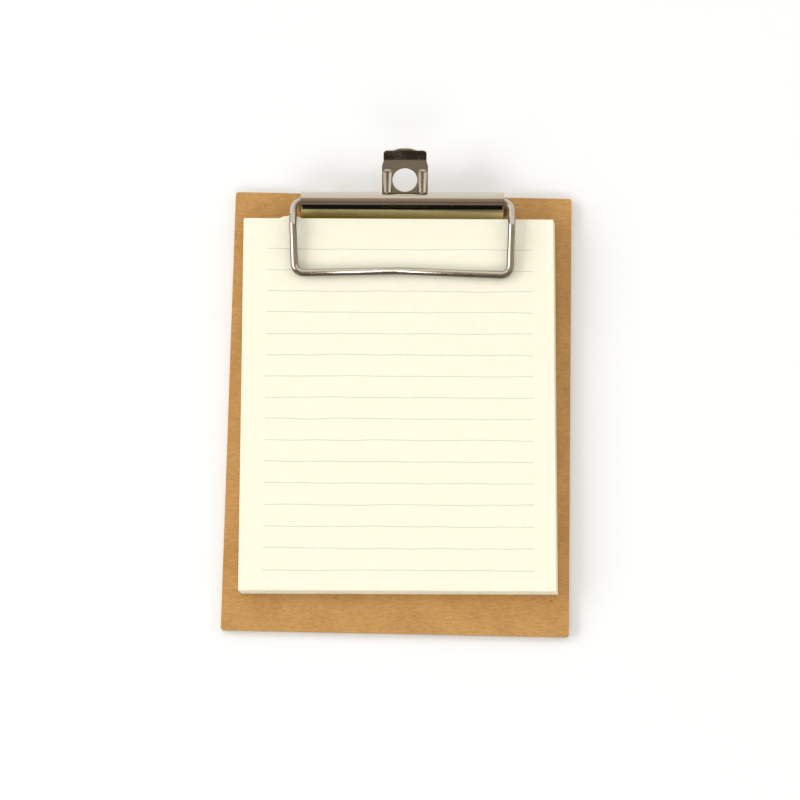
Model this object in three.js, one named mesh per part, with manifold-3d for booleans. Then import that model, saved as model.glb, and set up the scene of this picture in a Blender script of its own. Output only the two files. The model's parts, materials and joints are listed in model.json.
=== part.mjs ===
// A pocket clipboard: a laminated kraft board, a nickel-plated wire clip riveted to its rear edge, and a
// stack of ruled note sheets under the clip.
//
// Units are millimetres and +Z is up. The origin is the centre of the board's back face, +Y points to the
// edge that carries the clip, and +X to the right.
//
// The clip is one stamped base plate whose rear edge is rolled into a tube. A spring wire runs along the
// tube's axis, out of both ends and forward over the paper. Its two inner ends are cranked out through a
// slot in the tube and lie in the ribs of the thumb lever, so the lever and the wire turn together.

import * as THREE from "three";
import { mergeVertices } from "three/addons/utils/BufferGeometryUtils.js";
import Module from "manifold-3d";

const wasm = await Module();
wasm.setup();

const DEG = Math.PI / 180;

// ---------------------------------------------------------------- driving dimensions

// Board
const boardWidth = 112;
const boardLength = 146;
const boardCorner = 0.8; // radius of the cut corners
const coreThickness = 1.8;
const linerThickness = 0.3;

// Clip as a whole. It was riveted on about one degree off square.
const clipTurn = 1.0 * DEG;
const clipCentreX = -0.4;
const axisFromRearEdge = 3.66;

// Base plate. It lies flat on the board under the paper, then rises in a ramp and is rolled into the tube.
const plateSheet = 0.6;
const tubeRadius = 3.0; // outside
const tubeLength = 67.2;
const lipAngle = 45 * DEG; // the tube stops this far above its front
const flangeReach = 15.2; // from the tube's axis to the plate's front edge, under the paper
const flangeCorner = 4;
const rampSlope = 34 * DEG;
const rampEaseStart = 2.5; // from the tube's axis to where the ramp starts to level out
const rampFoot = 5.5; // and to where it lies flat
const slotCentreX = 0.5;
const slotWidth = 16.4;
const slotTop = 56 * DEG; // angles round the tube, from its rear
const slotBottom = -56 * DEG;

// Rivets
const rivetSpacing = 44;
const rivetReach = 10.9; // forward of the tube's axis
const rivetShank = 1.8; // radius
const rivetHead = 4.5; // radius of the flat head in the board's back
const rivetHeadThickness = 0.5;
const rivetClench = 3.0; // radius of the end formed over the plate
const rivetClenchThickness = 0.4;
const rivetClearance = 0.1;
const rivetRecess = 0.1; // the head lies this far below the board's back face
const rivetEdge = 0.15; // how far the rivet's edges are eased

// Wire bail
const wireRadius = 1.18;
const armSpread = 36.05; // from the middle to the arms, where they leave the tube
const armSpreadFront = 35.35; // and at the front corners
const peakReach = 8.5; // the arms rise to a peak behind the front bar
const peakHeight = 1.9; // above the tube's axis
const barReach = 25.05; // front corners, forward of the axis
const barSkew = 0.3; // the right corner is further forward by this, and the left one less far
const notchDepth = 1.1; // the front bar is bent back in its middle
const notchX = -1.2;
const barGap = 0.15; // between the bar and the paper
const tubeExitBend = 3.4;
const peakBend = 2.4;
const cornerBend = 3.0;
const notchBend = 60;
const crankBend = 2.0;
const crankEaseBend = 6;

// Thumb lever
const leverAngle = 36 * DEG; // the plate rises to the rear
const leverSheet = 0.7;
const leverWidth = 15.1;
const leverTipWidth = 14.1;
const leverCentreX = 0.8; // side play in the slot
const leverLength = 14.35; // from the axis to the foot of the flare
const taperStart = 12;
const taperEase = 1; // how gradually the sides turn into the taper and out of it
const hookInner = 1.3; // radius of the hooked root round the wire
const hookTurn = 250 * DEG; // where the hook ends, from the plate's direction
const neckAngle = 45 * DEG; // where the hook's arc runs out towards the plate
const holeRadius = 4.1;
const holeReach = 7.45; // from the axis to the hole's centre
const flareRise = 8 * DEG; // the flare is bent up this much from the plate
const flareBend = 1.2; // inside radius
const flareLength = 3.3;
const flareCorner = 1.2;
const tongueWidth = 7.6;
const tongueBend = 0.3; // inside radius of the rolled-back tongue
const tongueTurn = 100 * DEG;
const tongueReach = 0.85; // depth of the tongue's curved outline
const ribSpread = 5.75; // from the lever's middle to each rib
const crankOffset = -0.9; // the wire lies this far below the middle of the plate
const crankRise = 3.4; // distance from the axis where the wire meets the plate
const crankLength = 10.2;
const wireClearance = 0.1;
const ribStart = 3.4; // from the axis
const ribDome = 0.7; // height of a rib's domed end, as a share of its radius
const joinOverlap = 0.02; // parts of the lever that are joined run this far into each other

// Paper
const sheetCount = 30;
const sheetWidth = 102;
const sheetLength = 123;
const sheetThickness = 0.13;
const sheetPitch = 0.15; // sheet and the air under it
const paperCentreX = -0.1;
const paperRearMargin = 9.95; // from the board's rear edge
const paperTurn = 0.96 * DEG;
const stackLean = new THREE.Vector2(-0.9, 0.6); // from the bottom sheet to the top one
const sheetStray = 0.12; // how far one sheet strays from the lean
const sheetStrayTurn = 0.06 * DEG;
const paperClearance = 0.05; // over the rivets

// Straight steps that stand for a round stretch
const cornerSteps = 12; // in a quarter turn of a flat outline
const sheetArcSteps = 22; // in each arc of the bent sheet metal
const pegSides = 48;
const wireSides = 22;
const wireTurnStep = 9 * DEG;
const domeSteps = 6;

// ---------------------------------------------------------------- sizes that follow

const boardThickness = coreThickness + 2 * linerThickness;
const tubeBore = tubeRadius - plateSheet;
const axisY = boardLength / 2 - axisFromRearEdge;
const rampEase = (rampFoot - rampEaseStart) / Math.sin(rampSlope); // radius of the ramp's upper face
const rampDrop = rampEaseStart * Math.tan(rampSlope) + rampEase * (1 - Math.cos(rampSlope));
const flangeTop = -tubeBore / Math.cos(rampSlope) - rampDrop; // from the tube's axis
const axisZ = boardThickness + plateSheet - flangeTop;
const paperBottom = boardThickness + plateSheet + rivetClenchThickness + paperClearance;
const paperTop = paperBottom + sheetCount * sheetPitch;
const paperCentreY = boardLength / 2 - paperRearMargin - sheetLength / 2;
const barHeight = paperTop + barGap + wireRadius - axisZ;
const hookOuter = hookInner + leverSheet;
const clearRadius = wireRadius + wireClearance;
const ribRadius = clearRadius + leverSheet;

// ---------------------------------------------------------------- materials

const material = (color, roughness, metalness) =>
  new THREE.MeshStandardMaterial({ color, roughness, metalness });

const kraft = () => material(0xc0955c, 0.85, 0);
const greyboard = () => material(0xa98d66, 0.9, 0);
const nickel = () => material(0xc9c5bb, 0.2, 1);
const paper = () => material(0xfcfae3, 0.8, 0);

// ---------------------------------------------------------------- solid helpers

// A geometry as a manifold-3d solid, and back.
function solid(geometry) {
  const bare = geometry.clone();
  bare.deleteAttribute("normal");
  bare.deleteAttribute("uv");
  const merged = mergeVertices(bare, 1e-4);
  return new wasm.Manifold(
    new wasm.Mesh({
      numProp: 3,
      vertProperties: merged.attributes.position.array,
      triVerts: new Uint32Array(merged.index.array),
    }),
  );
}

function geometryOf(manifold) {
  const mesh = manifold.getMesh();
  const geometry = new THREE.BufferGeometry();
  geometry.setAttribute("position", new THREE.BufferAttribute(mesh.vertProperties, 3));
  geometry.setIndex(new THREE.BufferAttribute(mesh.triVerts, 1));
  geometry.computeVertexNormals();
  return geometry;
}

function piece(name, geometry, look) {
  const mesh = new THREE.Mesh(geometry, look);
  mesh.name = name;
  return mesh;
}

// A flat outline in XY, extruded up from z = low by a height.
function slab(outline, low, height) {
  const geometry = new THREE.ExtrudeGeometry(outline, {
    depth: height,
    bevelEnabled: false,
    curveSegments: cornerSteps,
  });
  return geometry.translate(0, 0, low);
}

// A profile drawn in the YZ plane, extruded along X about its middle.
function bar(profile, width) {
  const geometry = new THREE.ExtrudeGeometry(profile, {
    depth: width,
    bevelEnabled: false,
    curveSegments: sheetArcSteps,
  });
  geometry.translate(0, 0, -width / 2);
  // shape x -> Y, shape y -> Z, depth -> X
  return geometry.applyMatrix4(new THREE.Matrix4().set(0, 0, 1, 0, 1, 0, 0, 0, 0, 1, 0, 0, 0, 0, 0, 1));
}

function roundedRectangle(width, length, radius, centreX = 0, centreY = 0) {
  const right = centreX + width / 2;
  const left = centreX - width / 2;
  const rear = centreY + length / 2;
  const front = centreY - length / 2;
  const shape = new THREE.Shape();
  shape.absarc(right - radius, rear - radius, radius, 0, Math.PI / 2);
  shape.absarc(left + radius, rear - radius, radius, Math.PI / 2, Math.PI);
  shape.absarc(left + radius, front + radius, radius, Math.PI, 1.5 * Math.PI);
  shape.absarc(right - radius, front + radius, radius, 1.5 * Math.PI, 2 * Math.PI);
  shape.closePath();
  return shape;
}

// A vertical cylinder between two heights.
function peg(x, y, radius, low, high, sides = pegSides) {
  const geometry = new THREE.CylinderGeometry(radius, radius, high - low, sides);
  geometry.rotateX(Math.PI / 2);
  return geometry.translate(x, y, (low + high) / 2);
}

// The stations of a bent wire: straight runs between corners, each corner rounded to its bend radius.
function bentPath(corners) {
  const stations = [];
  const direction = (a, b) => b.at.clone().sub(a.at).normalize();
  stations.push({ point: corners[0].at, tangent: direction(corners[0], corners[1]) });
  for (let i = 1; i < corners.length - 1; i++) {
    const incoming = direction(corners[i - 1], corners[i]);
    const outgoing = direction(corners[i], corners[i + 1]);
    const turn = incoming.angleTo(outgoing);
    const inward = outgoing.clone().addScaledVector(incoming, -Math.cos(turn)).normalize();
    const radius = corners[i].bend;
    const start = corners[i].at.clone().addScaledVector(incoming, -radius * Math.tan(turn / 2));
    const steps = Math.max(2, Math.ceil(turn / wireTurnStep));
    for (let k = 0; k <= steps; k++) {
      const angle = (turn * k) / steps;
      const point = start
        .clone()
        .addScaledVector(incoming, radius * Math.sin(angle))
        .addScaledVector(inward, radius * (1 - Math.cos(angle)));
      const tangent = incoming
        .clone()
        .multiplyScalar(Math.cos(angle))
        .addScaledVector(inward, Math.sin(angle));
      stations.push({ point, tangent });
    }
  }
  const last = corners.length - 1;
  stations.push({ point: corners[last].at, tangent: direction(corners[last - 1], corners[last]) });
  return stations;
}

// A curve that steps from one station to the next, so that a swept wire has a ring exactly at each.
class StationCurve extends THREE.Curve {
  constructor(stations) {
    super();
    this.stations = stations;
  }

  station(t) {
    return this.stations[Math.round(t * (this.stations.length - 1))];
  }

  getPoint(t) {
    return this.station(t).point.clone();
  }

  getPointAt(t) {
    return this.getPoint(t);
  }

  getTangent(t) {
    return this.station(t).tangent.clone();
  }

  getTangentAt(t) {
    return this.getTangent(t);
  }
}

// A round rod swept along a bent path.
function sweptRod(corners, radius) {
  const stations = bentPath(corners);
  const section = new THREE.Shape();
  for (let i = 0; i < wireSides; i++) {
    const angle = (2 * Math.PI * i) / wireSides;
    const x = radius * Math.cos(angle);
    const y = radius * Math.sin(angle);
    if (i === 0) section.moveTo(x, y);
    else section.lineTo(x, y);
  }
  section.closePath();
  return new THREE.ExtrudeGeometry(section, {
    steps: stations.length - 1,
    bevelEnabled: false,
    extrudePath: new StationCurve(stations),
  });
}

// ---------------------------------------------------------------- frames

// The clip's own frame: origin on the tube's axis, X along it, +Y to the rear.
function clipFrame() {
  const group = new THREE.Group();
  group.position.set(clipCentreX, axisY, axisZ);
  group.rotation.z = clipTurn;
  return group;
}

// Where a point of the clip's frame lies on the board.
function onBoard(clipX, clipY) {
  return new THREE.Vector2(clipX, clipY)
    .rotateAround(new THREE.Vector2(), clipTurn)
    .add(new THREE.Vector2(clipCentreX, axisY));
}

// A point given by its distance along the lever's plate and its height above it.
function onLever(x, along, above) {
  return new THREE.Vector3(
    x,
    along * Math.cos(leverAngle) - above * Math.sin(leverAngle),
    along * Math.sin(leverAngle) + above * Math.cos(leverAngle),
  );
}

const rivetPlaces = [-1, 1].map((side) => onBoard((side * rivetSpacing) / 2, -rivetReach));

// ---------------------------------------------------------------- board

// The plies share one outline. Each has a hole for each rivet.
function ply(low, thickness, holeRadius) {
  const outline = roundedRectangle(boardWidth, boardLength, boardCorner);
  for (const place of rivetPlaces) {
    const hole = new THREE.Path();
    hole.absarc(place.x, place.y, holeRadius, 0, 2 * Math.PI, true);
    outline.holes.push(hole);
  }
  return slab(outline, low, thickness);
}

const rivetHole = rivetShank + rivetClearance;
const rivetSeat = rivetHead + rivetClearance;

function boardCore() {
  let body = solid(ply(linerThickness, coreThickness, rivetHole));
  const seatTop = rivetRecess + rivetHeadThickness;
  for (const place of rivetPlaces) {
    body = body.subtract(solid(peg(place.x, place.y, rivetSeat, -seatTop, seatTop)));
  }
  return geometryOf(body);
}

function board() {
  const group = new THREE.Group();
  group.add(piece("board_core", boardCore(), greyboard()));
  group.add(piece("back_liner", ply(0, linerThickness, rivetSeat), kraft()));
  group.add(piece("front_liner", ply(linerThickness + coreThickness, linerThickness, rivetHole), kraft()));
  return group;
}

// ---------------------------------------------------------------- rivets

// A flat head let into the board's back, a shank through the board, and an end formed over the base plate.
function rivet() {
  const headTop = rivetRecess + rivetHeadThickness;
  const clenchBottom = boardThickness + plateSheet;
  const clenchTop = clenchBottom + rivetClenchThickness;
  const profile = [
    [0, rivetRecess],
    [rivetHead - rivetEdge, rivetRecess],
    [rivetHead, rivetRecess + rivetEdge],
    [rivetHead, headTop],
    [rivetShank, headTop],
    [rivetShank, clenchBottom],
    [rivetClench, clenchBottom],
    [rivetClench, clenchBottom + rivetEdge],
    [rivetClench - rivetEdge, clenchTop - rivetEdge / 2],
    [rivetClench - 3 * rivetEdge, clenchTop],
    [rivetShank, clenchTop],
    [rivetShank - 2 * rivetEdge, clenchTop - rivetEdge],
    [0, clenchTop - rivetEdge],
  ].map(([radius, height]) => new THREE.Vector2(radius, height));
  return new THREE.LatheGeometry(profile, pegSides).rotateX(Math.PI / 2);
}

function rivets() {
  const group = new THREE.Group();
  ["rivet_left", "rivet_right"].forEach((name, i) => {
    const made = piece(name, rivet(), nickel());
    made.position.set(rivetPlaces[i].x, rivetPlaces[i].y, 0);
    group.add(made);
  });
  return group;
}

// ---------------------------------------------------------------- base plate

// Section of the plate: the flange on the board, the ramp that passes under the tube's axis, then the
// tube, up its rear and over to the lip.
function plateSection() {
  const down = -Math.PI / 2;
  const onRamp = down + rampSlope;
  const lip = Math.PI - lipAngle;
  const easeCentre = flangeTop + rampEase;
  const shape = new THREE.Shape();
  shape.moveTo(-flangeReach, flangeTop - plateSheet);
  shape.absarc(-rampFoot, easeCentre, rampEase + plateSheet, down, onRamp, false);
  shape.absarc(0, 0, tubeRadius, onRamp, lip, false);
  shape.lineTo(tubeBore * Math.cos(lip), tubeBore * Math.sin(lip));
  shape.absarc(0, 0, tubeBore, lip, onRamp, true);
  shape.absarc(-rampFoot, easeCentre, rampEase, onRamp, down, true);
  shape.lineTo(-flangeReach, flangeTop);
  shape.closePath();
  return shape;
}

// The wedge of tube wall that the lever's slot takes out.
function slotCutter() {
  const reach = 2 * tubeRadius;
  const shape = new THREE.Shape();
  shape.moveTo(0, 0);
  shape.lineTo(reach * Math.cos(slotBottom), reach * Math.sin(slotBottom));
  shape.lineTo(reach, 0);
  shape.lineTo(reach * Math.cos(slotTop), reach * Math.sin(slotTop));
  shape.closePath();
  return bar(shape, slotWidth).translate(slotCentreX, 0, 0);
}

function clipBase() {
  const tall = 8 * tubeRadius; // more than the plate's height
  // The plan runs on behind the tube, so that only the flange's two front corners are rounded.
  const planLength = flangeReach + 2 * tubeRadius + flangeCorner;
  const plan = roundedRectangle(tubeLength, planLength, flangeCorner, 0, planLength / 2 - flangeReach);
  const outline = solid(slab(plan, -tall / 2, tall));
  let body = solid(bar(plateSection(), tubeLength)).intersect(outline);
  body = body.subtract(solid(slotCutter()));
  for (const side of [-1, 1]) {
    const hole = peg((side * rivetSpacing) / 2, -rivetReach, rivetHole, -tall / 2, 0);
    body = body.subtract(solid(hole));
  }
  return geometryOf(body);
}

// ---------------------------------------------------------------- wire bail

// Corners of the wire from a cranked inner end to its straight run in the tube. A longer crank leaves
// room at the wire's end.
function crankCorners(side, crankReach) {
  const x = leverCentreX + side * ribSpread;
  return [
    { at: onLever(x, crankReach, crankOffset) },
    { at: onLever(x, crankRise, crankOffset), bend: crankEaseBend },
    { at: new THREE.Vector3(x, 0, 0), bend: crankBend },
  ];
}

// Corners of one arm: the tube's end, the peak, and the front corner.
function armCorners(side) {
  const reach = barReach + side * barSkew;
  return [
    { at: new THREE.Vector3(side * armSpread, 0, 0), bend: tubeExitBend },
    { at: new THREE.Vector3(side * armSpread, -peakReach, peakHeight), bend: peakBend },
    { at: new THREE.Vector3(side * armSpreadFront, -reach, barHeight), bend: cornerBend },
  ];
}

function wireBail() {
  const notch = { at: new THREE.Vector3(notchX, notchDepth - barReach, barHeight), bend: notchBend };
  const left = [...crankCorners(-1, crankLength), ...armCorners(-1)];
  const right = [...crankCorners(1, crankLength), ...armCorners(1)];
  return sweptRod([...left, notch, ...right.reverse()], wireRadius);
}

// ---------------------------------------------------------------- thumb lever

// The lever is made flat in its own frame, with the plate along +Y, then turned to its rest angle.

// Section of the sheet: hook, ramp, plate, and the bend at the foot of the flare.
function leverSection() {
  const half = leverSheet / 2;
  const neckFoot = (radius, height) =>
    (radius - height * Math.sin(neckAngle)) / Math.cos(neckAngle);
  const bendY = leverLength;
  const bendZ = half + flareBend;
  const shape = new THREE.Shape();
  shape.moveTo(hookOuter * Math.cos(hookTurn), hookOuter * Math.sin(hookTurn));
  shape.absarc(0, 0, hookOuter, hookTurn, neckAngle, true);
  shape.lineTo(neckFoot(hookOuter, half), half);
  shape.lineTo(bendY, half);
  shape.absarc(bendY, bendZ, flareBend, -Math.PI / 2, -Math.PI / 2 + flareRise, false);
  const outer = flareBend + leverSheet;
  shape.lineTo(
    bendY + outer * Math.sin(flareRise),
    bendZ - outer * Math.cos(flareRise),
  );
  shape.absarc(bendY, bendZ, outer, -Math.PI / 2 + flareRise, -Math.PI / 2, true);
  shape.lineTo(neckFoot(hookInner, -half), -half);
  shape.lineTo(hookInner * Math.cos(neckAngle), hookInner * Math.sin(neckAngle));
  shape.absarc(0, 0, hookInner, neckAngle, hookTurn, false);
  shape.closePath();
  return shape;
}

// Plan of the lever: straight sides that draw in a little towards the flare.
function leverPlan() {
  const wide = leverWidth / 2;
  const narrow = leverTipWidth / 2;
  const far = leverLength + flareLength;
  const near = -2 * hookOuter; // clear of the hook
  const shape = new THREE.Shape();
  shape.moveTo(-wide, near);
  shape.lineTo(wide, near);
  shape.lineTo(wide, taperStart);
  shape.bezierCurveTo(wide, taperStart + taperEase, narrow, leverLength - taperEase, narrow, leverLength);
  shape.lineTo(narrow, far);
  shape.lineTo(-narrow, far);
  shape.lineTo(-narrow, leverLength);
  shape.bezierCurveTo(-narrow, leverLength - taperEase, -wide, taperStart + taperEase, -wide, taperStart);
  shape.closePath();
  return shape;
}

// The flare's own frame has its origin at the centre of the bend at its foot, +Y up the blade and +Z to
// the blade's inner side. This places a geometry made there.
function onFlare(geometry) {
  return geometry.rotateX(flareRise).translate(0, leverLength, leverSheet / 2 + flareBend);
}

// The blade has rounded top corners. It starts just inside the bend, so that the two join.
function flareBlade() {
  const narrow = leverTipWidth / 2;
  const shape = new THREE.Shape();
  shape.moveTo(-narrow, -joinOverlap);
  shape.lineTo(narrow, -joinOverlap);
  shape.absarc(narrow - flareCorner, flareLength - flareCorner, flareCorner, 0, Math.PI / 2, false);
  shape.absarc(flareCorner - narrow, flareLength - flareCorner, flareCorner, Math.PI / 2, Math.PI, false);
  shape.closePath();
  return onFlare(slab(shape, -flareBend - leverSheet, leverSheet));
}

// The middle of the blade's top edge is rolled over to the rear as a tongue with a curved outline.
function flareTongue() {
  const inner = tongueBend;
  const outer = tongueBend + leverSheet;
  const end = Math.PI / 2 - tongueTurn;
  const curl = new THREE.Shape();
  curl.moveTo(-joinOverlap, outer);
  curl.lineTo(0, outer);
  curl.absarc(0, 0, outer, Math.PI / 2, end, true);
  curl.lineTo(inner * Math.cos(end), inner * Math.sin(end));
  curl.absarc(0, 0, inner, end, Math.PI / 2, false);
  curl.lineTo(-joinOverlap, inner);
  curl.closePath();
  // A circle through the ends of the tongue's root, as far out as the tongue reaches in its middle.
  const chord = tongueWidth / 2;
  const radius = (chord * chord + tongueReach * tongueReach) / (2 * tongueReach);
  const disc = peg(0, tongueReach - radius, radius, -outer, 2 * outer, 2 * pegSides);
  const trimmed = geometryOf(solid(bar(curl, tongueWidth)).intersect(solid(disc)));
  return onFlare(trimmed.translate(0, flareLength, -flareBend - leverSheet - tongueBend));
}

function thumbLever() {
  const tall = 4 * hookOuter; // more than the height of the hook and the ribs
  let body = solid(bar(leverSection(), leverWidth));
  body = body.add(rib(-ribSpread)).add(rib(ribSpread));
  body = body.intersect(solid(slab(leverPlan(), -tall / 2, tall)));
  body = body.add(solid(flareBlade())).add(solid(flareTongue()));
  body = body.subtract(wireChannel(-1)).subtract(wireChannel(1));
  body = body.subtract(solid(peg(0, holeReach, holeRadius, -ribRadius, ribRadius)));
  return geometryOf(body).rotateX(leverAngle).translate(leverCentreX, 0, 0);
}

// The room that one wire end takes in the lever, in the lever's own frame.
function wireChannel(side) {
  const corners = crankCorners(side, crankLength + 3 * wireClearance);
  corners.push({ at: new THREE.Vector3(side * leverWidth, 0, 0) });
  const room = sweptRod(corners, clearRadius);
  return solid(room.rotateX(-leverAngle).translate(-leverCentreX, 0, 0));
}

// One rib: a half-round cover over a wire end, domed at its far end.
function rib(x) {
  const straight = crankLength - ribStart;
  const profile = [new THREE.Vector2(0, 0), new THREE.Vector2(ribRadius, 0)];
  for (let k = 0; k <= domeSteps; k++) {
    const angle = ((Math.PI / 2) * k) / domeSteps;
    profile.push(
      new THREE.Vector2(ribRadius * Math.cos(angle), straight + ribDome * ribRadius * Math.sin(angle)),
    );
  }
  profile[profile.length - 1].x = 0;
  const rod = new THREE.LatheGeometry(profile, pegSides).translate(x, ribStart, crankOffset);
  // Only the part above the plate's underside is kept.
  const keep = new THREE.BoxGeometry(2 * ribRadius, 2 * crankLength, 2 * ribRadius);
  keep.translate(x, crankLength, ribRadius - leverSheet / 2);
  return solid(rod).intersect(solid(keep));
}

// ---------------------------------------------------------------- paper

// How far one sheet strays from the stack's lean: a fixed wave that doesn't repeat within the stack.
const stray = (index, phase) => Math.sin(index * 2.4 + phase);

function sheets() {
  const group = new THREE.Group();
  group.position.set(paperCentreX, paperCentreY, paperBottom);
  group.rotation.z = paperTurn;
  for (let i = 0; i < sheetCount; i++) {
    const number = String(sheetCount - i).padStart(2, "0");
    const sheet = piece(
      `sheet_${number}`,
      new THREE.BoxGeometry(sheetWidth, sheetLength, sheetThickness),
      paper(),
    );
    const share = i / (sheetCount - 1) - 0.5; // -0.5 at the bottom, 0.5 at the top
    sheet.position.set(
      share * stackLean.x + sheetStray * stray(i, 0.5),
      share * stackLean.y + sheetStray * stray(i, 2.1),
      i * sheetPitch + sheetThickness / 2,
    );
    sheet.rotation.z = sheetStrayTurn * stray(i, 4.0);
    group.add(sheet);
  }
  return group;
}

// ---------------------------------------------------------------- assembly

const clip = clipFrame();
clip.add(piece("clip_base", clipBase(), nickel()));
clip.add(piece("wire_bail", wireBail(), nickel()));
clip.add(piece("thumb_lever", thumbLever(), nickel()));

const clipboard = new THREE.Group();
clipboard.add(board(), rivets(), clip, sheets());

export default clipboard;
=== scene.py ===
"""The clipboard's looks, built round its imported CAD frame: kraft board, nickel-plated clip, ruled sheets.

Lengths are in metres. The frame's origin is the centre of the board's back face, +Y points to the edge that
carries the clip and +Z is up. Everything is placed from the frame's own boxes.
"""

import json
import math

import bmesh
import bpy
import numpy as np
from mathutils import Matrix, Vector


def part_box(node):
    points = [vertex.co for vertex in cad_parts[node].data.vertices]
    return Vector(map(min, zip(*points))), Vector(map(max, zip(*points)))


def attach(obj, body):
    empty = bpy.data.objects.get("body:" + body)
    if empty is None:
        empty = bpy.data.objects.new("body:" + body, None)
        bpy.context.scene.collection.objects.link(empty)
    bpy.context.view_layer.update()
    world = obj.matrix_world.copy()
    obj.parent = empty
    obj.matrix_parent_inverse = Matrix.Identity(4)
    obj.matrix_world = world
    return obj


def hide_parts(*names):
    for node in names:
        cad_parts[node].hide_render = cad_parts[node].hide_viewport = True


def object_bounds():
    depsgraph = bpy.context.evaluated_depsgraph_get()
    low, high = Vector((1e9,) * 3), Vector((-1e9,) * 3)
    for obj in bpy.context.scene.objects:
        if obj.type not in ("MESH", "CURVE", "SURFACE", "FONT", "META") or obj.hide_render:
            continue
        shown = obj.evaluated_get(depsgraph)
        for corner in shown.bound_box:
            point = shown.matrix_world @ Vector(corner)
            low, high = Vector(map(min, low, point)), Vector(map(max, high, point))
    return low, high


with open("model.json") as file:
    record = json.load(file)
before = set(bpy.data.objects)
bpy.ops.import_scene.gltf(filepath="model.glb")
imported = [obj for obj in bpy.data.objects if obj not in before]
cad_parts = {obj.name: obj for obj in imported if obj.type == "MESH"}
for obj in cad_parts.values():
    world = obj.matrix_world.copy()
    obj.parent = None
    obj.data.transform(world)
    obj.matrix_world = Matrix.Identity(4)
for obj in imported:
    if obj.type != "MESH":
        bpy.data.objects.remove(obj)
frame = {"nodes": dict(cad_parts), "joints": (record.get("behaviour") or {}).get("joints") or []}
cad_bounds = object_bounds()

MM = 0.001

# ---------------------------------------------------------------- places in the frame

SHEETS = sorted(name for name in frame["nodes"] if name.startswith("sheet_"))
BOARD_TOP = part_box("front_liner")[1].z
STACK_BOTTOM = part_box(SHEETS[-1])[0].z
PAPER_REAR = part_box(SHEETS[0])[1].y
BAR_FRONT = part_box("wire_bail")[0].y
ARM_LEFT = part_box("wire_bail")[0].x
HINGE = next(joint for joint in frame["joints"] if joint["name"] == "bail_hinge")
HINGE_Y = HINGE["pos_m"][1]

# Where the clip's finish and its painted light change.
REFLECTION_TINT_TO = HINGE_Y - 2.0 * MM  # the amber tint, a painted reflection of the paper's edges, starts in front of the tube's mouth
REFLECTION_TINT_BELOW = HINGE["pos_m"][2] - 3 * MM
TIP_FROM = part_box("thumb_lever")[1].y - 0.95 * MM  # the lever's rolled tongue gets a painted highlight
DULL_FROM = PAPER_REAR - 1.5 * MM  # the wire is bent and hazy from about the paper's rear edge
DULL_EASE = 2 * MM

# The tube that the clip's plate is rolled into, about the hinge.
ROLL_BORE = 2.6 * MM  # just over its inside radius
ROLL_REACH = 33.3 * MM  # just under half of its length
ROLL_MOUTH = -1.95 * MM  # its mouth is this far forward of its axis

# ---------------------------------------------------------------- building materials from nodes


class Look:
    """A node material under construction. Textures read the row frame, in metres."""

    def __init__(self, name):
        self.material = bpy.data.materials.new(name)
        self.material.use_nodes = True
        self.tree = self.material.node_tree
        self.shader = self.tree.nodes["Principled BSDF"]
        self.place = self.add("TexCoord").outputs["Object"]

    def feed(self, socket, value):
        """Sets an input to a plain value, or links another node's output to it."""
        if isinstance(value, bpy.types.NodeSocket):
            self.tree.links.new(value, socket)
        else:
            socket.default_value = value

    def add(self, kind, inputs=(), **settings):
        node = self.tree.nodes.new("ShaderNode" + kind)
        for key, value in settings.items():
            setattr(node, key, value)
        for key, value in dict(inputs).items():
            self.feed(node.inputs[key], value)
        return node

    def finish(self, **inputs):
        """Feeds the shader, with underscores for the spaces in its input names."""
        for key, value in inputs.items():
            self.feed(self.shader.inputs[key.replace("_", " ")], value)
        return self.material

    def math(self, operation, a, b=0.0, c=0.0):
        return self.add("Math", {0: a, 1: b, 2: c}, operation=operation).outputs[0]

    def ramp(self, value, low, high, to_low=0.0, to_high=1.0):
        """A value between low and high eased onto another range, and held at its ends."""
        steps = {"Value": value, "From Min": low, "From Max": high, "To Min": to_low, "To Max": to_high}
        return self.add("MapRange", steps, interpolation_type="SMOOTHSTEP").outputs[0]

    def mix(self, share, a, b, blend="MIX"):
        node = self.add("Mix", {0: share, 6: a, 7: b}, data_type="RGBA", blend_type=blend)
        return node.outputs[2]

    def noise(self, size, detail=2.0, stretch=(1, 1, 1), turn=0.0):
        """Noise with features of about the given size, drawn out along an axis by a stretch above one."""
        scale = tuple(1 / (size * s) for s in stretch)
        place = self.add("Mapping", {"Vector": self.place, "Rotation": (0, 0, turn), "Scale": scale})
        return self.add("TexNoise", {"Vector": place.outputs[0], "Scale": 1.0, "Detail": detail}).outputs[0]

    def bump(self, height, depth):
        return self.add("Bump", {"Height": height, "Distance": depth, "Strength": 1.0}).outputs[0]


def rgb(red, green, blue):
    return (red, green, blue, 1.0)


# ---------------------------------------------------------------- materials


# A soft oval of painted shadow on the board below each open end of the tube.
SHADE_OVAL_X = ROLL_REACH + 0.3 * MM
SHADE_OVAL_Y = HINGE_Y - 1.1 * MM
SHADE_OVAL_HALF_WIDTH = 1.6 * MM
SHADE_OVAL_HALF_LENGTH = 2.6 * MM


def painted_shade_under_roll_ends(look):
    """Near one on the board below the tube's two open ends, where shadow is painted, and nought elsewhere."""
    across, along, _ = look.add("SeparateXYZ", {0: look.place}).outputs
    off_x = look.math("SUBTRACT", look.math("ABSOLUTE", across), SHADE_OVAL_X)
    off_x = look.math("DIVIDE", off_x, SHADE_OVAL_HALF_WIDTH)
    off_y = look.math("DIVIDE", look.math("SUBTRACT", along, SHADE_OVAL_Y), SHADE_OVAL_HALF_LENGTH)
    off = look.math("ADD", look.math("POWER", off_x, 2), look.math("POWER", off_y, 2))
    return look.ramp(off, 0.1, 1.0, 0.85, 0.0)


FIBRE_WIDTH = 0.45 * MM


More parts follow.
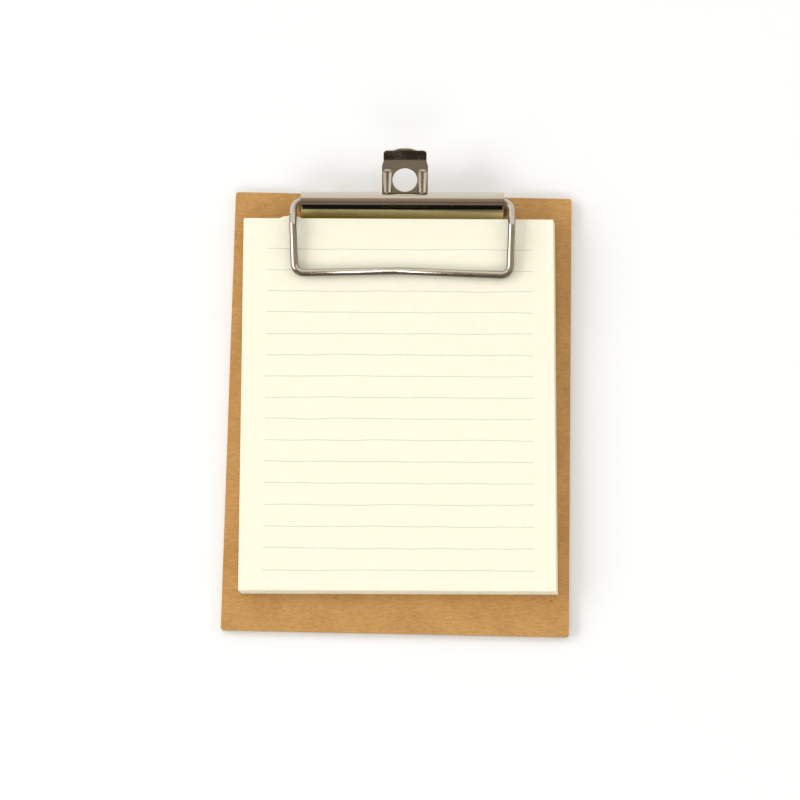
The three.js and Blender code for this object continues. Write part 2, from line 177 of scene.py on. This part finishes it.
def kraft():
    """Unbleached paper: short fibres lying two ways, faint clouds, a few dark flecks and a painted shadow
    below the tube's ends.
    """
    look = Look("kraft_liner")
    cloud = look.noise(14 * MM, detail=2)
    fibres = look.math(
        "ADD",
        look.noise(FIBRE_WIDTH, stretch=(4, 1, 1), turn=0.5),
        look.noise(FIBRE_WIDTH, stretch=(4, 1, 1), turn=-0.9),
    )
    grain = look.noise(0.25 * MM, detail=3)
    shade = look.math("ADD", look.ramp(cloud, 0.3, 0.7, -0.15, 0.15), look.math("SUBTRACT", fibres, 1.0))
    shade = look.math("ADD", shade, look.math("SUBTRACT", grain, 0.5))
    colour = look.mix(look.ramp(shade, -0.7, 0.7), rgb(0.36, 0.182, 0.054), rgb(0.53, 0.295, 0.1))
    fleck = look.ramp(look.noise(1.1 * MM, detail=1, stretch=(2, 1, 1), turn=0.3), 0.73, 0.8)
    colour = look.mix(fleck, colour, rgb(0.2, 0.1, 0.04))
    # painted shadow: the board goes near black below each open end of the tube
    colour = look.mix(painted_shade_under_roll_ends(look), colour, rgb(0.03, 0.018, 0.008))
    return look.finish(
        Base_Color=colour,
        Roughness=look.ramp(grain, 0.2, 0.8, 0.75, 0.95),
        Normal=look.bump(look.math("ADD", fibres, grain), 0.02 * MM),
    )


def greyboard():
    """The board's core, seen on its cut edges: pressed layers of pulp."""
    look = Look("board_core")
    layers = look.noise(0.18 * MM, detail=3, stretch=(22, 22, 1))
    grain = look.noise(0.3 * MM, detail=3)
    shade = look.math("ADD", layers, look.math("MULTIPLY", grain, 0.5))
    colour = look.mix(look.ramp(shade, 0.5, 1.0), rgb(0.4, 0.26, 0.13), rgb(0.6, 0.44, 0.25))
    return look.finish(Base_Color=colour, Roughness=0.95, Normal=look.bump(shade, 0.05 * MM))


def roll_shade_mask(look):
    """One inside the rolled tube and in the corner below its mouth, where shade is painted, nought elsewhere.
    """
    axis = Vector(HINGE["axis"])
    rear = axis.cross(Vector((0, 0, 1)))
    hinge = Vector(HINGE["pos_m"])
    offset = look.add("VectorMath", {0: look.place, 1: hinge}, operation="SUBTRACT").outputs[0]
    along = look.add("VectorMath", {0: offset, 1: axis}, operation="DOT_PRODUCT").outputs["Value"]
    back = look.add("VectorMath", {0: offset, 1: rear}, operation="DOT_PRODUCT").outputs["Value"]
    height = look.add("SeparateXYZ", {0: offset}).outputs[2]
    distance = look.math("SQRT", look.math("ADD", look.math("POWER", back, 2), look.math("POWER", height, 2)))
    bore = look.ramp(distance, ROLL_BORE, ROLL_BORE + 0.1 * MM, 1.0, 0.0)
    corner = look.ramp(back, ROLL_MOUTH, ROLL_MOUTH + 0.3 * MM)
    corner = look.math("MULTIPLY", corner, look.math("LESS_THAN", height, 0))
    corner = look.math("MULTIPLY", corner, look.math("LESS_THAN", back, 0.5 * MM))
    inside = look.math("LESS_THAN", look.math("ABSOLUTE", along), ROLL_REACH)
    return look.math("MULTIPLY", look.math("MAXIMUM", bore, corner), inside)


def nickel(name, roughness, reflection_tint=False, dull=0.0, tip_highlight=False):
    """Nickel plate with rubbed patches, fine scratches and small pits. An amber tint in front of the tube's
    mouth is a painted reflection of the paper's edges, darkening towards the paper as painted shade. Dull
    adds haze behind the wire's bends and painted shade low on its sides. Shade is painted inside the tube,
    and a painted highlight on the lever's tip."""
    look = Look(name)
    rubbed = look.noise(6 * MM, detail=3)
    scratches = look.noise(0.12 * MM, detail=2, stretch=(45, 1, 1), turn=0.12)
    pits = look.ramp(look.noise(0.6 * MM, detail=1), 0.76, 0.8)
    rough = look.math("ADD", look.ramp(rubbed, 0.3, 0.7, roughness * 0.7, roughness * 1.4), pits)
    rough = look.math("ADD", rough, look.ramp(scratches, 0.55, 0.8, 0.0, 0.12))
    colour = look.mix(rubbed, rgb(0.66, 0.58, 0.48), rgb(0.7, 0.63, 0.53))
    _, depth, height = look.add("SeparateXYZ", {0: look.place}).outputs
    metallic = 1.0
    if reflection_tint:
        # painted reflection of the paper's edges in amber, darkened towards the paper as painted shade
        unshaded = look.ramp(depth, PAPER_REAR, REFLECTION_TINT_TO)
        reflected_paper = look.mix(unshaded, rgb(0.36, 0.3, 0.05), rgb(0.98, 0.84, 0.4))
        tinted = look.ramp(depth, REFLECTION_TINT_TO, REFLECTION_TINT_TO + 0.3 * MM, 1.0, 0.0)
        tinted = look.math("MULTIPLY", tinted, look.math("LESS_THAN", height, REFLECTION_TINT_BELOW))
        colour = look.mix(tinted, colour, reflected_paper)
        metallic = look.ramp(look.math("MULTIPLY", tinted, unshaded), 0.0, 1.0, 1.0, 0.4)
    if dull:
        rough = look.math("ADD", rough, look.ramp(depth, DULL_FROM, DULL_FROM + DULL_EASE, 0.0, dull))
        # painted shade low on the wire's sides, strongest on the part over the paper
        facing = look.add("SeparateXYZ", {0: look.add("TexCoord").outputs["Normal"]}).outputs[2]
        ahead = look.ramp(depth, DULL_FROM, DULL_FROM + DULL_EASE, 1.0, 0.2)
        underside_shade = look.math("MULTIPLY", look.ramp(facing, 0.45, 0.8, 0.95, 0.0), ahead)
        colour = look.mix(underside_shade, colour, rgb(0.05, 0.04, 0.03))
    if tip_highlight:
        # painted highlight on the lever's rolled tongue
        colour = look.mix(look.ramp(depth, TIP_FROM, TIP_FROM + 0.2 * MM), colour, rgb(0.95, 0.88, 0.82))
    relief = look.math("SUBTRACT", look.math("MULTIPLY", scratches, 0.15), pits)
    return look.finish(
        # painted shade: near black inside the tube and in the corner below its mouth
        Base_Color=look.mix(roll_shade_mask(look), colour, rgb(0.03, 0.025, 0.02)),
        Metallic=metallic,
        Roughness=rough,
        Normal=look.bump(relief, 0.012 * MM),
    )


# Ruling, in the sheet's own place: x from its middle, y from its middle towards the clip.
LINE_COUNT = 16
LINE_PITCH = 7.074 * MM
FIRST_LINE = 51.05 * MM
LINE_MIDDLE = 0.35 * MM
LINE_REACH = 43.7 * MM
LINE_WIDTH = 0.22 * MM
LINE_WANDER = 0.2 * MM


def paper():
    """Cream writing paper ruled in pale grey. The lines wander a little, as if drawn by hand. The cut edges
    are painted paler and pinker than the faces, as painted light on the stack's rim."""
    look = Look("note_paper")
    sheet = look.add("SeparateXYZ", {0: look.add("UVMap", uv_map="sheet_place").outputs[0]})
    x, y = sheet.outputs[0], sheet.outputs[1]
    mottle = look.noise(3.5 * MM, detail=4)
    grain = look.noise(0.3 * MM, detail=2)
    blank = look.mix(look.ramp(mottle, 0.3, 0.7), rgb(0.79, 0.76, 0.61), rgb(0.805, 0.775, 0.63))

    row = look.math("ROUND", look.math("DIVIDE", look.math("SUBTRACT", FIRST_LINE, y), LINE_PITCH))
    along = look.add("CombineXYZ", {0: look.math("DIVIDE", x, 16 * MM), 1: look.math("MULTIPLY", row, 3.7)})
    wander = look.add("TexNoise", {"Vector": along.outputs[0], "Scale": 1.0, "Detail": 1.0}).outputs[0]
    line_y = look.math("SUBTRACT", FIRST_LINE, look.math("MULTIPLY", row, LINE_PITCH))
    line_y = look.math("ADD", line_y, look.ramp(wander, 0.2, 0.8, -LINE_WANDER, LINE_WANDER))
    off_line = look.math("ABSOLUTE", look.math("SUBTRACT", y, line_y))
    past_end = look.math("ABSOLUTE", look.math("SUBTRACT", x, LINE_MIDDLE))
    ink = look.ramp(off_line, 0.3 * LINE_WIDTH, 0.7 * LINE_WIDTH, 1.0, 0.0)
    ink = look.math("MULTIPLY", ink, look.math("LESS_THAN", past_end, LINE_REACH))
    ink = look.math("MULTIPLY", ink, look.math("GREATER_THAN", row, -0.5))
    ink = look.math("MULTIPLY", ink, look.math("LESS_THAN", row, LINE_COUNT - 0.5))
    strength = look.ramp(grain, 0.25, 0.6, 0.3, 0.6)
    colour = look.mix(look.math("MULTIPLY", ink, strength), blank, rgb(0.3, 0.32, 0.3))
    # painted light: the cut edges are paler and pinker than the faces
    facing = look.add("SeparateXYZ", {0: look.add("TexCoord").outputs["Normal"]}).outputs[2]
    colour = look.mix(look.ramp(facing, 0.3, 0.6, 1.0, 0.0), colour, rgb(0.96, 0.885, 0.74))
    return look.finish(
        Base_Color=colour,
        Roughness=look.ramp(grain, 0.2, 0.8, 0.7, 0.85),
        Normal=look.bump(grain, 0.004 * MM),
    )


# ---------------------------------------------------------------- board


def dress(name, look):
    """Gives a carried-over CAD node its material."""
    node = frame["nodes"][name]
    node.data.materials.clear()
    node.data.materials.append(look)


def board():
    liner = kraft()
    dress("board_core", greyboard())
    dress("front_liner", liner)
    dress("back_liner", liner)


# ---------------------------------------------------------------- clip

def smooth_copy(name, body, look):
    """A CAD part with its facets joined and its curved faces shaded smooth. It stands for the CAD node."""
    source = frame["nodes"][name].data
    mesh = bpy.data.meshes.new(name + "_finish")
    mesh.from_pydata([v.co for v in source.vertices], [], [tuple(p.vertices) for p in source.polygons])
    work = bmesh.new()
    work.from_mesh(mesh)
    bmesh.ops.remove_doubles(work, verts=work.verts, dist=0.001 * MM)
    bmesh.ops.dissolve_limit(work, angle_limit=math.radians(0.5), verts=work.verts, edges=work.edges)
    bmesh.ops.triangulate(work, faces=[f for f in work.faces if len(f.verts) > 4])
    work.to_mesh(mesh)
    work.free()
    mesh.polygons.foreach_set("use_smooth", [True] * len(mesh.polygons))
    mesh.set_sharp_from_angle(angle=math.radians(32))
    mesh.materials.append(look)
    made = bpy.data.objects.new(name + "_finish", mesh)
    bpy.context.scene.collection.objects.link(made)
    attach(made, body)
    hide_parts(name)
    return made


def clip():
    smooth_copy("clip_base", "board", nickel("clip_plate", 0.08, reflection_tint=True))
    lever = smooth_copy("thumb_lever", "clamp", nickel("lever_plate", 0.17, tip_highlight=True))
    wire = smooth_copy("wire_bail", "clamp", nickel("spring_wire", 0.06, dull=0.38))
    rivet = nickel("rivets", 0.2)
    smooth_copy("rivet_left", "board", rivet)
    smooth_copy("rivet_right", "board", rivet)
    return wire, lever


# ---------------------------------------------------------------- sheets

DROP = STACK_BOTTOM - BOARD_TOP - 0.02 * MM  # the stack comes down onto the board by this
DROP_FROM = BAR_FRONT - 2 * MM
DROP_RUN = 28 * MM
RIPPLE = 0.05 * MM

# The rear edge of the top sheets is crumpled where the left arm crosses it.
TUFT_X = ARM_LEFT + 1.3 * MM
TUFT_REACH = 3.9 * MM
TUFT_DEPTH = 2.2 * MM
TUFT_OUT = 1.2 * MM
TUFT_UP = 0.2 * MM
TUFT_SHEETS = 6


def ease(share):
    share = np.clip(share, 0, 1)
    return share * share * (3 - 2 * share)


def sheet_plan(name):
    """Centre, half width, half length and turn of a CAD sheet, from the spread of its corners."""
    corners = np.array([v.co for v in frame["nodes"][name].data.vertices])
    centre = (corners.max(0) + corners.min(0)) / 2
    flat = corners[:, :2] - centre[:2]
    spread, axes = np.linalg.eigh(flat.T @ flat / len(flat))
    along = axes[:, 1] * np.sign(axes[1, 1])
    return centre, math.sqrt(spread[0]), math.sqrt(spread[1]), math.atan2(-along[0], along[1])


def grid_lines(half, step, fine_low, fine_high, fine_step):
    """Grid lines from edge to edge of a sheet, closer together over one stretch."""
    coarse = np.linspace(-half, half, 2 + int(2 * half / step))
    fine = np.arange(fine_low, fine_high, fine_step)
    kept = coarse[(coarse < fine_low - fine_step / 2) | (coarse > fine_high)]
    return np.unique(np.concatenate([kept, fine, [-half, half]]))


def sheet(name, rank, look):
    """One sheet: a thin solid with its place on the sheet kept as a UV map, draped like the stack."""
    centre, half_width, half_length, turn = sheet_plan(name)
    low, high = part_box(name)
    tuft_x = TUFT_X - centre[0]
    columns = grid_lines(half_width, 3.4 * MM, tuft_x - TUFT_REACH, tuft_x + TUFT_REACH, 0.4 * MM)
    rows = grid_lines(half_length, 3.6 * MM, half_length - 3 * MM, half_length, 0.5 * MM)
    x, y = (axis.ravel() for axis in np.meshgrid(columns, rows))
    tuft = np.clip(1 - np.abs(x - tuft_x) / TUFT_REACH, 0, 1) * ease(1 - (half_length - y) / TUFT_DEPTH)
    tuft *= max(0.0, 1 - rank / TUFT_SHEETS) * (1 + 0.25 * np.sin(2600 * x + 1.7 * rank))
    out = y + TUFT_OUT * tuft
    world_x = centre[0] + math.cos(turn) * x - math.sin(turn) * out
    world_y = centre[1] + math.sin(turn) * x + math.cos(turn) * out
    down = ease((DROP_FROM - world_y) / DROP_RUN)
    ripple = RIPPLE * (1 + np.sin(70 * world_x + 0.9) * np.sin(46 * world_y + 0.4))
    lift = TUFT_UP * tuft + down * (ripple - DROP)
    under = np.stack([world_x, world_y, low.z + lift], 1)
    over = np.stack([world_x, world_y, high.z + lift], 1)

    wide, count = len(columns), len(x)
    corner = np.arange(count).reshape(len(rows), wide)
    a, b = corner[:-1, :-1].ravel(), corner[:-1, 1:].ravel()
    c, d = corner[1:, 1:].ravel(), corner[1:, :-1].ravel()
    bottom = np.stack([a, d, c, b], 1)
    top = np.stack([a, b, c, d], 1) + count
    rim = np.concatenate([corner[0], corner[1:, -1], corner[-1, -2::-1], corner[-2:0:-1, 0]])
    after = np.roll(rim, -1)
    sides = np.stack([rim, after, after + count, rim + count], 1)
    faces = np.concatenate([bottom, top, sides])

    mesh = bpy.data.meshes.new(name + "_paper")
    mesh.from_pydata(np.concatenate([under, over]), [], faces.tolist())
    mesh.polygons.foreach_set("use_smooth", [True] * len(faces))
    mesh.set_sharp_from_angle(angle=math.radians(40))
    place = mesh.uv_layers.new(name="sheet_place")
    loops = faces.ravel() % count
    place.data.foreach_set("uv", np.stack([x[loops], y[loops]], 1).ravel())
    mesh.materials.append(look)
    made = bpy.data.objects.new(name + "_paper", mesh)
    bpy.context.scene.collection.objects.link(made)
    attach(made, "paper")
    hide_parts(name)


def sheets():
    look = paper()
    for rank, name in enumerate(SHEETS):
        sheet(name, rank, look)


# ---------------------------------------------------------------- floor, light and camera


def floor():
    bpy.ops.mesh.primitive_plane_add(size=6, location=(0, 0, cad_bounds[0].z - 0.1 * MM))
    plane = bpy.context.object
    plane.name = "floor"
    look = Look("floor")
    plane.data.materials.append(look.finish(Base_Color=rgb(0.79, 0.79, 0.79), Roughness=1.0))


# What the metal mirrors, by angle from straight up: positive towards the clip's end, negative towards the
# viewer. A white wall stands behind the object and the room on the viewer's side is dim.
SKY = (
    (-90, rgb(0.02, 0.015, 0.012)),
    (-77, rgb(0.02, 0.015, 0.012)),
    (-66, rgb(0.04, 0.03, 0.026)),
    (-57, rgb(0.26, 0.25, 0.19)),
    (-46, rgb(0.25, 0.19, 0.165)),
    (-34, rgb(0.13, 0.095, 0.08)),
    (-20, rgb(0.27, 0.21, 0.17)),
    (6, rgb(0.37, 0.32, 0.26)),
    (16, rgb(0.36, 0.32, 0.26)),
    (24, rgb(0.85, 0.85, 0.8)),
    (90, rgb(0.92, 0.93, 0.9)),
)


def sky():
    """Light from all round. The camera itself sees plain white."""
    world = bpy.data.worlds.new("studio")
    bpy.context.scene.world = world
    world.use_nodes = True
    tree = world.node_tree
    background = tree.nodes["Background"]
    direction = tree.nodes.new("ShaderNodeTexCoord")
    parts = tree.nodes.new("ShaderNodeSeparateXYZ")
    tree.links.new(direction.outputs["Generated"], parts.inputs[0])
    fade = tree.nodes.new("ShaderNodeValToRGB")
    stops = fade.color_ramp.elements
    while len(stops) < len(SKY):
        stops.new(0.5)
    for stop, (angle, colour) in zip(stops, SKY):
        stop.position = (1 + math.sin(math.radians(angle))) / 2
        stop.color = colour
    rear = tree.nodes.new("ShaderNodeMapRange")
    rear.inputs["From Min"].default_value = -1
    tree.links.new(parts.outputs[1], rear.inputs[0])
    tree.links.new(rear.outputs[0], fade.inputs[0])
    rays = tree.nodes.new("ShaderNodeLightPath")
    seen = tree.nodes.new("ShaderNodeMix")
    seen.data_type = "RGBA"
    tree.links.new(rays.outputs["Is Camera Ray"], seen.inputs[0])
    tree.links.new(fade.outputs[0], seen.inputs[6])
    seen.inputs[7].default_value = rgb(1, 1, 1)
    tree.links.new(seen.outputs[2], background.inputs[0])


PANEL_DISTANCE = 5.0
DAYLIGHT = (0.95, 0.98, 1.0)


def softbox(name, across, towards, wide, high, radiance, mirrored_by=()):
    """A panel aimed at the object. Its place is given by two angles off vertical: across the board
    (positive to the right) and towards the clip's end. Wide and high are the angles that it fills.
    A panel that is mirrored by something lights only that; the others are not seen in the metal."""
    light = bpy.data.lights.new(name, "AREA")
    light.shape = "RECTANGLE"
    light.size = 2 * PANEL_DISTANCE * math.tan(math.radians(wide / 2))
    light.size_y = 2 * PANEL_DISTANCE * math.tan(math.radians(high / 2))
    light.energy = math.pi * light.size * light.size_y * radiance
    light.color = DAYLIGHT
    lamp = bpy.data.objects.new(name, light)
    lamp.visible_glossy = bool(mirrored_by)
    if mirrored_by:
        shown_in = bpy.data.collections.new(name + "_shown_in")
        for thing in mirrored_by:
            shown_in.objects.link(thing)
        lamp.light_linking.receiver_collection = shown_in
    bpy.context.scene.collection.objects.link(lamp)
    aim = Vector((math.tan(math.radians(across)), math.tan(math.radians(towards)), 1)).normalized()
    lamp.location = PANEL_DISTANCE * aim
    right = Vector((0, 1, 0)).cross(aim).normalized()
    lamp.rotation_mode = "QUATERNION"
    lamp.rotation_quaternion = Matrix((right, aim.cross(right), aim)).transposed().to_quaternion()


def lights(wire, lever):
    """The key comes in low from the left. The glints are highlights for the wire and the lever only."""
    sky()
    softbox("key_left", -63, 0, 28, 60, 5.7)
    softbox("fill_right", 60, -10, 28, 50, 1.8)
    softbox("fill_rear", 0, 30, 40, 28, 1.1)
    softbox("fill_top", 0, 0, 30, 30, 0.9)
    softbox("fill_front", 0, -52, 60, 24, 3.0)
    softbox("glint_arms", -52, 5, 50, 40, 2.2, mirrored_by=[wire])
    softbox("glint_bar", -0.5, -20, 1.3, 60, 4.0, mirrored_by=[wire])
    softbox("glint_rib_left", -62, -58, 36, 36, 0.65, mirrored_by=[lever])
    softbox("glint_rib_right", 62, -58, 36, 36, 0.8, mirrored_by=[lever])


def camera():
    """Nearly overhead, from the front edge, with the picture turned a degree against the board."""
    elevation = math.radians(79.125)
    roll = math.radians(1.169)
    target = Vector((0.153, 3.957, 0)) * MM
    distance = 750.34 * MM
    forward = Vector((0, math.cos(elevation), -math.sin(elevation)))
    right = Vector((1, 0, 0))
    up = right.cross(forward)
    turned_right = math.cos(roll) * right + math.sin(roll) * up
    turned_up = math.cos(roll) * up - math.sin(roll) * right
    lens = bpy.data.cameras.new("camera")
    lens.sensor_width = 36
    lens.lens = 102.6
    view = bpy.data.objects.new("camera", lens)
    bpy.context.scene.collection.objects.link(view)
    view.matrix_world = Matrix.Translation(target - distance * forward) @ Matrix(
        (turned_right, turned_up, -forward)
    ).transposed().to_4x4()
    bpy.context.scene.camera = view


# ---------------------------------------------------------------- the scene

board()
wire, lever = clip()
sheets()
floor()
lights(wire, lever)
camera()
bpy.context.scene.view_settings.view_transform = "Standard"
